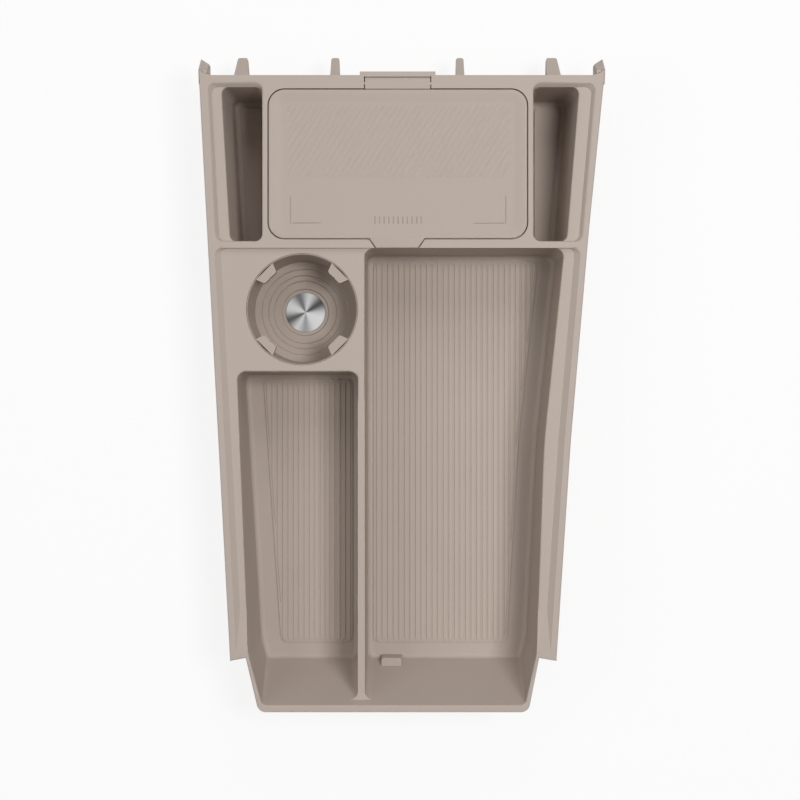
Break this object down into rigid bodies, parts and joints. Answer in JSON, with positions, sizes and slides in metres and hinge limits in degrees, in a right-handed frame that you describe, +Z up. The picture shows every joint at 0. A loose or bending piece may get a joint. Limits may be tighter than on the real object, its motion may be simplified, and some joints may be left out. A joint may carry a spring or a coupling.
{
  "type": "vehicle center console organizer tray",
  "caption": "Moulded console organizer tray with a hinged lid, a round cup well, side pockets and long wells with ribbed mats.",
  "frame": {"origin": "point on the tray's flat underside, at the middle of its length and on the lid's centre line", "axes": "+Z up out of the wells, +Y towards the rear edge with the hinge, +X to the right of someone facing the rear edge"},
  "size_m": [0.2849, 0.465, 0.0655],
  "materials": {
    "tray_plastic": "fine matte moulded grain",
    "lid_plastic": "fine matte moulded grain",
    "soft_liner": "matte",
    "soft_mat": "matte",
    "disc_steel": "turned, radial sheen",
    "pin_steel": "drawn"
  },
  "bodies": {
    "tray": {"tray_body": "tray_plastic", "hinge_pin": "pin_steel", "cup_liner": "soft_liner", "cup_disc": "disc_steel", "mat_small": "soft_mat", "mat_large": "soft_mat", "mat_pocket_left": "soft_mat", "mat_pocket_right": "soft_mat"},
    "lid": {"lid_frame": "lid_plastic", "lid_panel": "lid_plastic"}
  },
  "joints": [
    {"name": "lid_hinge", "type": "hinge", "parent": "tray", "child": "lid", "pos_m": [0, 0.2219, 0.0629], "axis": [-1, 0, 0], "range_deg": [0, 95]}
  ]
}
